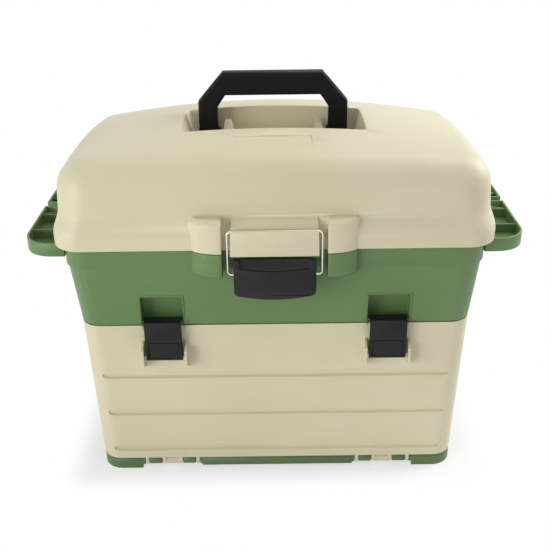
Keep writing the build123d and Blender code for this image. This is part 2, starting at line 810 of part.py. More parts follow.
with BuildPart() as lid:
    slab(seam_level, lip_band_top, lip_plan(0))
    form(lip_band_top, lip_plan(0), lid_foot, lid_plan(0))
    add(lid_outside)
    fillet(lid.edges().group_by(Axis.Z)[0], lip_round)
    fillet(lid.edges().filter_by_position(Axis.Z, lip_band_top - run_gap, lip_band_top + run_gap), lip_crest)
    fillet(lid.edges().filter_by_position(Axis.Z, lid_foot - run_gap, lid_foot + run_gap), lip_cove)
    add(lid_pads)
    add(tongue.part)
    slab(seam_level - overrun, lid_ledge, lip_plan(lip_wall), mode=Mode.SUBTRACT)
    slab(lid_ledge, lid_foot, lid_plan(lid_wall), mode=Mode.SUBTRACT)
    add(lid_inside, mode=Mode.SUBTRACT)
    add(recess_tub.part)
    mouth_level = lid_crown + overrun
    recess = (recess_plan(recess_floor), recess_plan(mouth_level))
    form(recess_floor, recess[0], mouth_level, recess[1], y=recess_middle, mode=Mode.SUBTRACT)
    add(handle_lugs.part)
    for side in (-1, 1):
        lug = (side * lug_inner, side * lug_outer)
        rod(*lug, handle_y, handle_pivot_level, handle_pin_radius + pin_gap, mode=Mode.SUBTRACT)
    label_back = recess_front - label_setback
    label_front = label_back - label_length
    label_flat = [
        (label_back, crown_level(label_half_length, label_back) - label_depth),
        (label_back, crown_level(0, label_back) + overrun),
        (label_front, crown_level(0, label_front) + overrun),
        (label_front, crown_level(0, label_front)),
    ]
    side_prism(label_flat, -label_half_length, label_half_length, mode=Mode.SUBTRACT)
    hollow_x = tongue_half_width - tongue_wall
    hollow_y = (tongue_front + tongue_wall, -lip_half_depth - run_gap)
    hollow_z = (tongue_bottom - overrun, notch_floor - tongue_wall)
    block((-hollow_x, hollow_x), hollow_y, hollow_z, mode=Mode.SUBTRACT)
    for side in (-1, 1):
        knuckle = [side * lid_hinge_place + end * lid_knuckle_half for end in (-1, 1)]
        rod(*knuckle, lid_hinge_y, lid_hinge_level, lid_hinge_radius)
        web = [
            (lip_half_depth - lip_wall / 2, seam_level + lip_round),
            (lid_hinge_y, lid_hinge_level),
            (lid_hinge_y, lid_hinge_level + lid_hinge_radius),
            (lip_half_depth - lip_wall / 2, seam_level + lid_web_height),
        ]
        side_prism(web, *knuckle)
        rod(*knuckle, lid_hinge_y, lid_hinge_level, lid_pin_radius + pin_gap, mode=Mode.SUBTRACT)
keep(lid.part, "lid")

# Pins of the lid's hinge, gripped by the bin's lugs
for pin_name, side in (("lid_hinge_pin_left", -1), ("lid_hinge_pin_right", 1)):
    with BuildPart() as lid_hinge_pin:
        ends = [side * lid_hinge_place + end * lid_hinge_half_span for end in (-1, 1)]
        rod(*ends, lid_hinge_y, lid_hinge_level, lid_pin_radius)
    keep(lid_hinge_pin.part, pin_name)

# Carrying handle: a rounded loop with slanted shoulders and a thumb dish on each
with BuildPart() as carry_handle:
    sole = handle_pivot_level - handle_thickness / 2
    knee = handle_top - handle_crown_drop
    crown_half = handle_half_width - handle_crown_inset
    eye_half = handle_half_width - handle_leg
    eye_top = handle_top - handle_grip
    depth = (handle_y - handle_thickness / 2, handle_y + handle_thickness / 2)
    outside = [(handle_half_width, sole), (handle_half_width, knee), (crown_half, handle_top)]
    front_prism(outside + [(-x, z) for x, z in reversed(outside)], *depth)
    eye_low = eye_top - handle_eye_drop
    eye = [(eye_half, sole - overrun), (eye_half, eye_low), (eye_half - handle_eye_inset, eye_top)]
    front_prism(eye + [(-x, z) for x, z in reversed(eye)], *depth, mode=Mode.SUBTRACT)
    with BuildSketch(Plane.YZ.offset(-handle_half_width)) as flank:
        with Locations((handle_y, handle_pivot_level)):
            Circle(handle_thickness / 2)
        with Locations((handle_y, handle_pivot_level + handle_reach / 2)):
            Rectangle(handle_thickness, handle_reach)
    extrude(flank.sketch, amount=2 * handle_half_width, mode=Mode.INTERSECT)
    outlines = carry_handle.faces().filter_by(Axis.Y).edges()
    above_pivot = (handle_pivot_level + run_gap, handle_top + overrun)
    fillet(outlines.filter_by_position(Axis.Z, *above_pivot), handle_edge)
    for side in (-1, 1):
        boss = (side * (lug_outer + run_gap), side * (eye_half + handle_edge))
        rod(*boss, handle_y, handle_pivot_level, handle_boss_radius)
        pin_end = side * (eye_half + handle_pin_seat)
        hole = handle_pin_radius + seat_gap
        rod(side * lug_outer, pin_end, handle_y, handle_pivot_level, hole, mode=Mode.SUBTRACT)
        shoulder = Plane(
            origin=(side * (handle_half_width + crown_half) / 2, handle_y, (knee + handle_top) / 2),
            x_dir=(-side * handle_crown_inset, 0, handle_crown_drop),
            z_dir=(side * handle_crown_drop, 0, handle_crown_inset),
        )
        with BuildSketch(shoulder) as dish:
            SlotOverall(handle_dish_length, handle_dish_width)
        extrude(dish.sketch, amount=-handle_dish_depth, mode=Mode.SUBTRACT)
keep(carry_handle.part, "carry_handle")

# Pins of the handle, gripped by its feet and turning in the lid's lugs
for pin_name, side in (("handle_pin_left", -1), ("handle_pin_right", 1)):
    with BuildPart() as handle_pin:
        pin_end = side * (handle_half_width - handle_leg + handle_pin_seat)
        rod(side * (lug_inner + lug_draft), pin_end, handle_y, handle_pivot_level, handle_pin_radius)
    keep(handle_pin.part, pin_name)


# Latch lever: a bowed plate on a hub, with cheeks for the wire and a thumb pocket in its face
def lever_side(setback, thickness):
    """Side view of a layer of the lever's bowed plate, some way behind its face."""
    near = lever_pivot_y + setback
    far = near + thickness
    middle = (lever_top + lever_bottom) / 2
    with BuildSketch(Plane.YZ.offset(-lever_half_width)) as layer:
        with BuildLine():
            bows = [
                ThreePointArc(
                    (y - lever_face_top, lever_top),
                    (y - lever_face_bulge, middle),
                    (y - lever_face_bottom, lever_bottom),
                )
                for y in (near, far)
            ]
            Line(bows[0] @ 0, bows[1] @ 0)
            Line(bows[0] @ 1, bows[1] @ 1)
        make_face()
    return layer.sketch


def lever_window(half_width, high, side_level, middle_level, corner):
    """Front view with a bowed lower edge, carried through the lever's depth."""
    with BuildSketch(Plane.XZ.offset(-lever_pivot_y - lever_face_bulge)) as front:
        with BuildLine():
            sill = ThreePointArc((-half_width, side_level), (0, middle_level), (half_width, side_level))
            Polyline(sill @ 1, (half_width, high), (-half_width, high), sill @ 0)
        make_face()
        fillet(front.vertices().sort_by(Axis.Y)[:2], corner)
    extrude(front.sketch, amount=2 * lever_face_bulge + overrun, mode=Mode.INTERSECT)


with BuildPart() as thumb_pocket:
    extrude(lever_side(-overrun, overrun + lever_pocket_depth), amount=2 * lever_half_width)
    pocket_sides = lever_top - lever_pocket_side_drop
    lever_window(
        lever_half_width - lever_pocket_margin,
        lever_top + overrun,
        pocket_sides,
        lever_top - lever_pocket_drop,
        lever_plate / 2,
    )

with BuildPart() as latch_lever:
    extrude(lever_side(0, lever_plate), amount=2 * lever_half_width)
    lever_window(
        lever_half_width,
        lever_top + overrun,
        lever_bottom + lever_corner_rise,
        lever_bottom,
        lever_corner,
    )
    add(thumb_pocket.part, mode=Mode.SUBTRACT)
    rod(-lever_half_width, lever_half_width, lever_pivot_y, lever_pivot_level, lever_hub)
    for side in (-1, 1):
        cheek = (side * (lever_half_width - lever_cheek), side * lever_half_width)
        rod(*cheek, lever_pivot_y, bail_pivot_level, bail_boss)
        cheek_z = (bail_pivot_level - bail_boss, bail_pivot_level + bail_boss)
        block(cheek, (lever_pivot_y - lever_face_top, lever_pivot_y), cheek_z)
        hook = (side * (lever_half_width - bail_end_depth - run_gap), side * lever_half_width)
        rod(*hook, lever_pivot_y, bail_pivot_level, bail_wire_radius + pin_gap, mode=Mode.SUBTRACT)
        gap_x = (
            side * (lever_lug_inner - lever_lug_gap),
            side * (lever_lug_inner + lever_lug_thickness + lever_lug_gap),
        )
        rod(*gap_x, lever_pivot_y, lever_pivot_level, lever_lug_radius + lever_lug_gap, mode=Mode.SUBTRACT)
    pin_hole = lever_pin_radius + pin_gap
    rod(-lever_half_width, lever_half_width, lever_pivot_y, lever_pivot_level, pin_hole, mode=Mode.SUBTRACT)
keep(latch_lever.part, "latch_lever")

with BuildPart() as latch_pin:
    pin_half = lever_half_width - lever_pin_inset
    rod(-pin_half, pin_half, lever_pivot_y, lever_pivot_level, lever_pin_radius)
keep(latch_pin.part, "latch_pin")

# Wire bail: hooked into the lever's cheeks and over the tongue's notch
with BuildPart() as latch_bail:
    hook_x = lever_half_width - bail_end_depth
    with BuildLine(Plane.XZ.offset(-lever_pivot_y)) as bail_route:
        FilletPolyline(
            (-hook_x, bail_pivot_level),
            (-bail_half_width, bail_pivot_level),
            (-bail_half_width, bail_top),
            (bail_half_width, bail_top),
            (bail_half_width, bail_pivot_level),
            (hook_x, bail_pivot_level),
            radius=bail_bend,
        )
    with BuildSketch(Plane(origin=(-hook_x, lever_pivot_y, bail_pivot_level), z_dir=(-1, 0, 0))) as wire:
        Circle(bail_wire_radius)
    sweep(wire.sketch, path=bail_route.wires()[0])
keep(latch_bail.part, "latch_bail")

# Front door: a shell that wraps the chest's front corners, grooved outside and ribbed inside
ear_outer_half = ear_span / 2 + ear_thickness
clip_pivot_y = -chest_plan(clip_pivot_level)[1] - clip_pivot_proud
with BuildPart() as front_door:
    form(door_low, chest_plan(door_low), door_high, chest_plan(door_high))
    lining = (chest_plan(door_low, door_wall), chest_plan(door_high, door_wall))
    form(door_low, lining[0], door_high, lining[1], mode=Mode.SUBTRACT)
    split(bisect_by=Plane.XZ.offset(door_back), keep=Keep.TOP)
    for i in range(groove_count):
        level = base_height + groove_rise + groove_pitch * i
        face = -chest_plan(level)[1]
        half = chest_plan(level)[0] - groove_end_margin
        with BuildSketch(Plane.XZ.offset(-face - groove_depth)) as groove:
            with Locations((0, level)):
                SlotOverall(2 * half, groove_height)
        extrude(groove.sketch, amount=groove_depth + overrun, mode=Mode.SUBTRACT)
    rib_low = door_low + tab_root_height
    rib_high = door_high - door_rib_drop
    for share in door_rib_shares:
        x = share * foot_half_width
        rib = [
            (door_wall / 2 - chest_plan(rib_low)[1], rib_low),
            (door_wall + door_rib_depth - chest_plan(rib_low)[1], rib_low),
            (door_wall + door_rib_depth - chest_plan(rib_high)[1], rib_high),
            (door_wall / 2 - chest_plan(rib_high)[1], rib_high),
        ]
        side_prism(rib, x - door_rib_thickness / 2, x + door_rib_thickness / 2)
    tab = [
        (door_hinge_y - door_hinge_radius, door_hinge_level),
        (door_hinge_y - door_hinge_radius, door_low + door_wall),
        (door_wall - chest_plan(door_low)[1], door_low + tab_root_height),
        (door_hinge_y + door_hinge_radius, door_low),
        (door_hinge_y + door_hinge_radius, door_hinge_level),
    ]
    ear_low = chest_top - ear_drop
    ear_high = ear_low + ear_height
    ear = [
        (door_wall / 2 - chest_plan(ear_low)[1], ear_low),
        (-chest_half_depth - ear_proud, ear_low + ear_slope),
        (-chest_half_depth - ear_proud, ear_high - ear_slope),
        (door_wall / 2 - chest_plan(ear_high)[1], ear_high),
    ]
    for side in (-1, 1):
        for place in tab_places:
            ends = [side * place + half * tab_thickness / 2 for half in (-1, 1)]
            rod(*ends, door_hinge_y, door_hinge_level, door_hinge_radius)
            side_prism(tab, *ends)
        rod(side * tab_places[1], side * tab_places[2], door_hinge_y, door_hinge_level, door_hinge_radius)
        span = (side * bay_inner, side * bay_outer)
        rod(*span, door_hinge_y, door_hinge_level, door_pin_radius + pin_gap, mode=Mode.SUBTRACT)
        for end in (-1, 1):
            ends = [side * clip_centre + end * half for half in (ear_span / 2, ear_outer_half)]
            side_prism(ear, *ends)
            rod(*ends, clip_pivot_y, clip_pivot_level, clip_pin_radius + seat_gap, mode=Mode.SUBTRACT)
keep(front_door.part, "front_door")

# Pins of the door's hinge, gripped by the walls of the base's bays
for pin_name, side in (("door_hinge_pin_left", -1), ("door_hinge_pin_right", 1)):
    with BuildPart() as door_hinge_pin:
        ends = (side * (bay_inner - base_wall), side * (bay_outer + base_wall))
        rod(*ends, door_hinge_y, door_hinge_level, door_pin_radius)
    keep(door_hinge_pin.part, pin_name)

# Snap clips: a flat bar with a shallow finger panel, and a nose with a barb behind the catch bead
clip_back = -chest_half_depth - clip_proud
clip_face = clip_back - clip_thickness
clip_step = chest_top - clip_step_drop
nose_back = clip_back + clip_nose
clip_side = [
    (clip_face, clip_pivot_level),
    (clip_face, clip_top),
    (nose_back, clip_top),
    (nose_back, bin_floor_top + run_gap),
    (nose_back - clip_barb, bin_floor_top + run_gap),
    (nose_back - clip_barb, clip_top - clip_nose_height),
    (clip_back, clip_top - clip_nose_height),
    (clip_back, clip_pivot_level),
]
for clip_name, side in (("clip_left", -1), ("clip_right", 1)):
    with BuildPart() as clip:
        ends = [side * clip_centre + half * clip_width / 2 for half in (-1, 1)]
        side_prism(clip_side, *ends)
        rod(*ends, clip_pivot_y, clip_pivot_level, clip_pivot_y - clip_face)
        panel = [side * clip_centre + half * (clip_width / 2 - clip_rail) for half in (-1, 1)]
        panel_y = (clip_face - overrun, clip_face + clip_panel_depth)
        block(panel, panel_y, (clip_pivot_level, clip_step), mode=Mode.SUBTRACT)
        rod(*ends, clip_pivot_y, clip_pivot_level, clip_pin_radius + pin_gap, mode=Mode.SUBTRACT)
    keep(clip.part, clip_name)
for pin_name, side in (("clip_pin_left", -1), ("clip_pin_right", 1)):
    with BuildPart() as clip_pin:
        ends = [side * clip_centre + half * ear_outer_half for half in (-1, 1)]
        rod(*ends, clip_pivot_y, clip_pivot_level, clip_pin_radius)
    keep(clip_pin.part, pin_name)

# Drawers with a finger notch and divider guides, and their loose dividers
drawer_plan = (drawer_half_width, (drawer_back - drawer_front) / 2, drawer_corner)
drawer_middle_y = (drawer_back + drawer_front) / 2
divider_places = centred(divider_count, divider_pitch)
for drawer_name, floor in zip(("bottom", "middle", "top"), drawer_floors):
    low = floor + run_gap
    high = low + drawer_height
    with BuildPart() as drawer:
        slab(low, high, drawer_plan, y=drawer_middle_y)
        cavity = tuple(size - drawer_wall for size in drawer_plan)
        slab(low + drawer_wall, high + overrun, cavity, y=drawer_middle_y, mode=Mode.SUBTRACT)
        for x in divider_places:
            for side in (-1, 1):
                rib = side * (divider_thickness / 2 + run_gap)
                guide_x = (x + rib, x + rib + side * divider_guide)
                guide_z = (low + drawer_wall / 2, high - divider_drop)
                block(guide_x, (drawer_front, drawer_front + drawer_wall + divider_guide_reach), guide_z)
                block(guide_x, (drawer_back - drawer_wall - divider_guide_reach, drawer_back), guide_z)
        notch_x = (-drawer_notch_half_length, drawer_notch_half_length)
        notch_y = (drawer_front - overrun, drawer_front + drawer_wall + overrun)
        block(notch_x, notch_y, (high - drawer_notch_depth, high + overrun), mode=Mode.SUBTRACT)
    keep(drawer.part, f"drawer_{drawer_name}")
    with BuildPart() as dividers:
        for x in divider_places:
            sheet_x = (x - divider_thickness / 2, x + divider_thickness / 2)
            sheet_y = (drawer_front + drawer_wall + run_gap, drawer_back - drawer_wall - run_gap)
            block(sheet_x, sheet_y, (low + drawer_wall, high - divider_drop))
    keep(dividers.part, f"dividers_{drawer_name}")

# Lift-out tray: a tapered tub with a rim, and the long wall and cross walls that part it
with BuildPart() as lift_out_tray:
    form(tray_bottom, tray_plan(tray_bottom), tray_top, tray_plan(tray_top))
    slab(tray_top - tray_rim_height, tray_top, tray_plan(tray_top, -tray_wall))
    tub = (tray_plan(tray_bottom + tray_wall, tray_wall), tray_plan(tray_top, tray_wall))
    form(tray_bottom + tray_wall, tub[0], tray_top, tub[1], mode=Mode.SUBTRACT)
keep(lift_out_tray.part, "lift_out_tray")
tray_floor = tray_bottom + tray_wall
foot = tray_plan(tray_floor, tray_wall + run_gap)
brim = tray_plan(tray_top, tray_wall + run_gap)
with BuildPart() as tray_long_wall:
    long_wall = [(-foot[0], tray_floor), (foot[0], tray_floor), (brim[0], tray_top), (-brim[0], tray_top)]
    front_prism(long_wall, -tray_wall / 2, tray_wall / 2)
    with BuildSketch(Plane.XZ.offset(-tray_wall)) as hand_slot:
        with Locations((0, tray_top - tray_slot_drop - tray_slot_height / 2)):
            SlotOverall(2 * tray_slot_half_length, tray_slot_height)
    extrude(hand_slot.sketch, amount=2 * tray_wall, mode=Mode.SUBTRACT)
keep(tray_long_wall.part, "tray_long_wall")
with BuildPart() as tray_cross_walls:
    heel = tray_wall / 2 + run_gap
    for side in (-1, 1):
        cross_wall = [(heel, tray_floor), (foot[1], tray_floor), (brim[1], tray_top), (heel, tray_top)]
        cross_wall = [(side * y, z) for y, z in cross_wall]
        for x in centred(tray_cross_count, tray_cross_pitch):
            side_prism(cross_wall, x - tray_wall / 2, x + tray_wall / 2)
keep(tray_cross_walls.part, "tray_cross_walls")
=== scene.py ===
# %% [markdown]
# A moulded tackle box, dressed for its portrait.
#
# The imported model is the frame: every solid of the box, at its real size, with its joints. This lesson
# puts the looks on it. The mouldings are copies of their solids with broken edges. The wire of the bail,
# the finger panels of the clips and the bosses of the hinge are surfaces worked out with numpy. Every
# surface gets a procedural finish.

# %% Load the frame
import json
import math

import bmesh
import bpy
import numpy as np
from mathutils import Matrix, Vector

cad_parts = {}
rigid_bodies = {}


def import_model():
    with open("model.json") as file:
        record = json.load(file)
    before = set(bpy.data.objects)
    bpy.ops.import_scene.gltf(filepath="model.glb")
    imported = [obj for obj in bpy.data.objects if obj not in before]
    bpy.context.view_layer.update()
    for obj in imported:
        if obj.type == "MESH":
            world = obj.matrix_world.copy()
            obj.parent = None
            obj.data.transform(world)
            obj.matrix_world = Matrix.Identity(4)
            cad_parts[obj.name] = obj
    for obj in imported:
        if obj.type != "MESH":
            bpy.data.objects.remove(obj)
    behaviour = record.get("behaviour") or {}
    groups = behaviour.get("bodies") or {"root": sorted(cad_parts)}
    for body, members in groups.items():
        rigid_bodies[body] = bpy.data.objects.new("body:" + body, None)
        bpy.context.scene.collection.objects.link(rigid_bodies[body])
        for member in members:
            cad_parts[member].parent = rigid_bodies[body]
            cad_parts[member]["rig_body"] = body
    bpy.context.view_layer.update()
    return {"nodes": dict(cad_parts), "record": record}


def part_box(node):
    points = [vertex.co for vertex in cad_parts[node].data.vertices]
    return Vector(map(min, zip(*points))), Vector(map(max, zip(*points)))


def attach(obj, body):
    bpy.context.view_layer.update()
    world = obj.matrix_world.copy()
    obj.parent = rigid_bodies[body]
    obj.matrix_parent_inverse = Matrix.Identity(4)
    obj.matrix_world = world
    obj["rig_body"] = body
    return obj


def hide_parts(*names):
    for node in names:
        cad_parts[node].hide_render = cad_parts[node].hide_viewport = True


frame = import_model()
scene = bpy.context.scene
nodes = frame["nodes"]
slots = {subpart["node"]: subpart["material_slot"] for subpart in frame["record"]["subparts"]}
mm = 0.001

# %% [markdown]
# The camera stands where the photographer stood: in front, higher than the handle, looking down by
# about 25 degrees. The focal length is given in pixels of a 550 pixel frame, and a small roll levels
# the picture as the photograph is levelled.

# %% Camera
frame_pixels = 550
focal_pixels = 870
sensor_mm = 36.0
camera_place = (0.0, -0.913, 0.6173)
look_down = math.radians(25.5)
camera_roll = math.radians(0.7)

camera_data = bpy.data.cameras.new("portrait_camera")
camera_data.sensor_width = sensor_mm
camera_data.lens = focal_pixels / frame_pixels * sensor_mm
camera = bpy.data.objects.new("portrait_camera", camera_data)
tilt = Matrix.Rotation(math.pi / 2 - look_down, 4, "X") @ Matrix.Rotation(-camera_roll, 4, "Z")
camera.matrix_world = Matrix.Translation(camera_place) @ tilt
scene.collection.objects.link(camera)
scene.camera = camera
print("camera: lens", round(camera_data.lens, 2), "mm")

# %% [markdown]
# A product photograph on white is a bright room. In Blender the world can play two parts at once: a
# dim, even light for the box, and a plain white for the rays that come from the camera or are seen in
# gloss. A Light Path node tells the two kinds of ray apart, so the backdrop is white and the box still
# isn't flooded with light.

# %% Helpers for node trees
def add_node(tree, kind, **values):
    """A shader node; each keyword sets an input socket of that name, with _ for a space."""
    node = tree.nodes.new(kind)
    for key, value in values.items():
        node.inputs[key.replace("_", " ")].default_value = value
    return node


def srgb(red, green, blue):
    """A colour given as eight-bit sRGB numbers, as the linear RGBA that shaders use."""
    share = np.array([red, green, blue]) / 255
    linear = np.where(share <= 0.04045, share / 12.92, ((share + 0.055) / 1.055) ** 2.4)
    return (*linear.tolist(), 1.0)


def backdrop_rays(tree):
    """One for a ray that comes from the camera, or through gloss or glass, and zero for light."""
    path = tree.nodes.new("ShaderNodeLightPath")
    total = path.outputs["Is Camera Ray"]
    for output in ("Is Glossy Ray", "Is Transmission Ray"):
        either = tree.nodes.new("ShaderNodeMath")
        either.operation = "MAXIMUM"
        tree.links.new(total, either.inputs[0])
        tree.links.new(path.outputs[output], either.inputs[1])
        total = either.outputs[0]
    return total


def mixed(tree, factor, first, second):
    """A shader that goes from first to second as factor goes from zero to one."""
    mix = tree.nodes.new("ShaderNodeMixShader")
    tree.links.new(factor, mix.inputs["Fac"])
    tree.links.new(first.outputs[0], mix.inputs[1])
    tree.links.new(second.outputs[0], mix.inputs[2])
    return mix.outputs[0]


paper_white = (1, 1, 1, 1)
print("mid grey in linear light:", round(srgb(128, 128, 128)[0], 3))

# %% World
room_level = 0.38

world = bpy.data.worlds.new("white_room")
world.use_nodes = True
tree = world.node_tree
tree.nodes.clear()
white = add_node(tree, "ShaderNodeBackground", Color=paper_white, Strength=1.0)
room = add_node(tree, "ShaderNodeBackground", Color=paper_white, Strength=room_level)
sky = mixed(tree, backdrop_rays(tree), room, white)
tree.links.new(sky, tree.nodes.new("ShaderNodeOutputWorld").inputs[0])
scene.world = world
scene.view_settings.view_transform = "Standard"
print("world: light at", room_level, "and a white backdrop")

# %% [markdown]
# The floor is one large square. A floor that is white by light alone would need so much light that
# the box would wash out. So this one glows white for the camera, and the glow fades near the foot of
# the box, where the matt floor under it takes the soft shadow. The shader works out the distance from
# the foot: for a point p it is the length of max(|p| - half the foot, 0).

# %% Floor
floor_half = 8.0
floor_colour = (0.93, 0.93, 0.925, 1)
chest_low, chest_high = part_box("lower_chest")
foot_half = [max(-chest_low[axis], chest_high[axis]) for axis in (0, 1)]
shadow_reach = 0.04
contact_glow = 0.62
floor_glow = 1.0


def floor_finish():
    """Pale matt floor that glows white for camera rays, less so the nearer it is to the box's foot."""
    finish = bpy.data.materials.new("pale_floor")
    finish.use_nodes = True
    tree = finish.node_tree
    tree.nodes.clear()
    reach = tree.nodes.new("ShaderNodeTexCoord").outputs["Object"]
    for operation, other in (
        ("ABSOLUTE", None),
        ("SUBTRACT", (*foot_half, 0)),
        ("MAXIMUM", (0, 0, 0)),
        ("LENGTH", None),
    ):
        step = tree.nodes.new("ShaderNodeVectorMath")
        step.operation = operation
        tree.links.new(reach, step.inputs[0])
        if other:
            step.inputs[1].default_value = other
        reach = step.outputs["Value" if operation == "LENGTH" else "Vector"]
    ramp = add_node(
        tree, "ShaderNodeMapRange", From_Max=shadow_reach, To_Min=contact_glow, To_Max=floor_glow
    )
    ramp.interpolation_type = "SMOOTHSTEP"
    tree.links.new(reach, ramp.inputs["Value"])
    gate = tree.nodes.new("ShaderNodeMath")
    gate.operation = "MULTIPLY"
    tree.links.new(ramp.outputs[0], gate.inputs[0])
    tree.links.new(backdrop_rays(tree), gate.inputs[1])
    matt = add_node(tree, "ShaderNodeBsdfDiffuse", Color=floor_colour)
    glow = add_node(tree, "ShaderNodeEmission", Color=paper_white, Strength=1.0)
    surface = mixed(tree, gate.outputs[0], matt, glow)
    tree.links.new(surface, tree.nodes.new("ShaderNodeOutputMaterial").inputs[0])
    return finish


floor_mesh = bpy.data.meshes.new("floor")
floor_corners = [(x * floor_half, y * floor_half, 0) for x, y in ((-1, -1), (1, -1), (1, 1), (-1, 1))]
floor_mesh.from_pydata(floor_corners, [], [(0, 1, 2, 3)])
floor_mesh.materials.append(floor_finish())
floor = bpy.data.objects.new("floor", floor_mesh)
scene.collection.objects.link(floor)
print("floor:", 2 * floor_half, "m square, shadow within", shadow_reach, "m of the foot")

# %% [markdown]
# Three square softboxes shape the box. One hangs overhead, one stands behind it on the right and
# brightens the right end of the lid, and a low one in front on the left fills the door and the bin.
# Large lamps give soft edges to the shade, and their sum with the room is kept near one, so that a
# colour renders about as it is written.

# %% Lamps
box_middle = Vector((0, 0, 0.2))


def softbox(name, place, size, power):
    """A square area lamp that faces the middle of the box."""
    lamp = bpy.data.lights.new(name, "AREA")
    lamp.size = size
    lamp.energy = power
    lamp_object = bpy.data.objects.new(name, lamp)
    back = Vector(place) - box_middle
    turn = back.to_track_quat("Z", "Y").to_matrix().to_4x4()
    lamp_object.matrix_world = Matrix.Translation(place) @ turn
    scene.collection.objects.link(lamp_object)
    print(name, power, "W at", round(back.length, 2), "m")


softbox("overhead_softbox", place=(0.7, 0.35, 2.0), size=1.4, power=15)
softbox("key_softbox", place=(1.7, 0.55, 1.25), size=1.2, power=26)
softbox("fill_softbox", place=(-1.7, -1.5, 0.4), size=1.4, power=34)

# %% [markdown]
# Moulded polypropylene is never one flat colour. The pigment drifts a little over a hand's breadth,
# the tool leaves a fine spark-eroded grain, and the gloss is uneven where the melt cooled at other
# speeds. Painted textures would need a map for every piece. Three noises at those three sizes, in
# object coordinates and metres, fit all of them. Metal is made in the same way with finer noises.

# %% Helpers for finishes
colour_a, colour_b, colour_result = 6, 7, 2


def principled(name):
    """A new material with a Principled shader, its node tree and its object coordinates."""
    finish = bpy.data.materials.new(name)
    finish.use_nodes = True
    tree = finish.node_tree
    shader = tree.nodes["Principled BSDF"]
    place = tree.nodes.new("ShaderNodeTexCoord").outputs["Object"]
    return finish, tree, shader, place


def noise(tree, place, scale, detail):
    """Noise in object coordinates; scale is in features a metre."""
    node = add_node(tree, "ShaderNodeTexNoise", Scale=scale, Detail=detail)
    tree.links.new(place, node.inputs["Vector"])
    return node.outputs["Fac"]


def paint(tree, shader, share, deep, pale):
    """Base colour that goes from deep to pale as share does from zero to one."""
    colours = tree.nodes.new("ShaderNodeMix")
    colours.data_type = "RGBA"
    colours.inputs[colour_a].default_value = deep
    colours.inputs[colour_b].default_value = pale
    tree.links.new(share, colours.inputs["Factor"])
    tree.links.new(colours.outputs[colour_result], shader.inputs["Base Color"])


def polish(tree, shader, share, gloss):
    """Roughness that goes between the two values of gloss as share does from zero to one."""
    sheen = add_node(tree, "ShaderNodeMapRange", To_Min=gloss[0], To_Max=gloss[1])
    tree.links.new(share, sheen.inputs["Value"])
    tree.links.new(sheen.outputs[0], shader.inputs["Roughness"])


def roughen(tree, shader, height, strength, depth):
    """Bump of the normal by a height, as deep as depth in metres."""
    bump = add_node(tree, "ShaderNodeBump", Strength=strength, Distance=depth)
    tree.links.new(height, bump.inputs["Height"])
    tree.links.new(bump.outputs[0], shader.inputs["Normal"])


print("a Mix node's colour sockets are", colour_a, "and", colour_b)

# %% Plastic and metal
cloud_low, cloud_high = 0.3, 0.7
pigment_scale, pigment_detail = 7.0, 4.0
melt_scale, melt_detail = 45.0, 3.0
grain_scale, grain_detail = 900.0, 3.0
grain_depth = 0.4 * mm
tarnish = 0.82
tarnish_scale, tarnish_detail = 260.0, 3.0
streak_scale, streak_detail = 700.0, 2.0
scratch_scale, scratch_detail = 2400.0, 2.0
scratch_depth = 0.2 * mm


def moulded(name, deep, pale, gloss, grain=0.1, shine=0.5):
    """Moulded plastic: pigment between two colours, uneven gloss between two roughnesses, fine grain."""
    finish, tree, shader, place = principled(name)
    shader.inputs["Specular IOR Level"].default_value = shine
    cloud = add_node(tree, "ShaderNodeMapRange", From_Min=cloud_low, From_Max=cloud_high)
    tree.links.new(noise(tree, place, pigment_scale, pigment_detail), cloud.inputs["Value"])
    paint(tree, shader, cloud.outputs[0], deep, pale)
    polish(tree, shader, noise(tree, place, melt_scale, melt_detail), gloss)
    roughen(tree, shader, noise(tree, place, grain_scale, grain_detail), grain, grain_depth)
    return finish


def metal(name, colour, gloss, scratch):
    """Plated or turned metal: a colour that darkens in spots, uneven gloss and fine scratches."""
    finish, tree, shader, place = principled(name)
    shader.inputs["Metallic"].default_value = 1.0
    dull = (*(tarnish * share for share in colour[:3]), 1.0)
    paint(tree, shader, noise(tree, place, tarnish_scale, tarnish_detail), dull, colour)
    polish(tree, shader, noise(tree, place, streak_scale, streak_detail), gloss)
    roughen(tree, shader, noise(tree, place, scratch_scale, scratch_detail), scratch, scratch_depth)
    return finish


print("grain", grain_depth / mm, "mm deep, scratches", scratch_depth / mm, "mm")

# %% Finishes
black_grain = 0.2

cream = moulded("cream_polypropylene", srgb(208, 200, 168), srgb(214, 207, 177), (0.38, 0.52))
green = moulded("green_polypropylene", srgb(90, 121, 69), srgb(97, 128, 76), (0.36, 0.5))
charcoal = moulded(
    "charcoal_nylon", srgb(22, 22, 22), srgb(31, 31, 30), (0.42, 0.58), grain=black_grain, shine=0.25
)
# The base's green is the bin's green made darker. This is painted shade: it stands in for the shade the
# base sits in below the door's lower edge.
painted_shade_green = moulded("green_base_painted_shade", srgb(79, 106, 61), srgb(87, 115, 68), (0.38, 0.52))
jet = moulded(
    "jet_handle_nylon", srgb(9, 9, 9), srgb(15, 15, 15), (0.45, 0.6), grain=black_grain, shine=0.15
)
frosted = moulded("frosted_tray_plastic", srgb(188, 192, 186), srgb(204, 207, 200), (0.3, 0.42))
wire_bright = metal("bright_bail_wire", srgb(226, 226, 222), (0.16, 0.3), scratch=0.1)
pin_steel = metal("zinc_pin_steel", srgb(176, 178, 180), (0.25, 0.42), scratch=0.2)
finishes = {
    "green_shell": green,
    "pale_shell": cream,
    "black_parts": charcoal,
    "bright_wire": wire_bright,
    "steel": pin_steel,
    "inner_plastic": frosted,
}
print("finishes:", ", ".join(finishes))

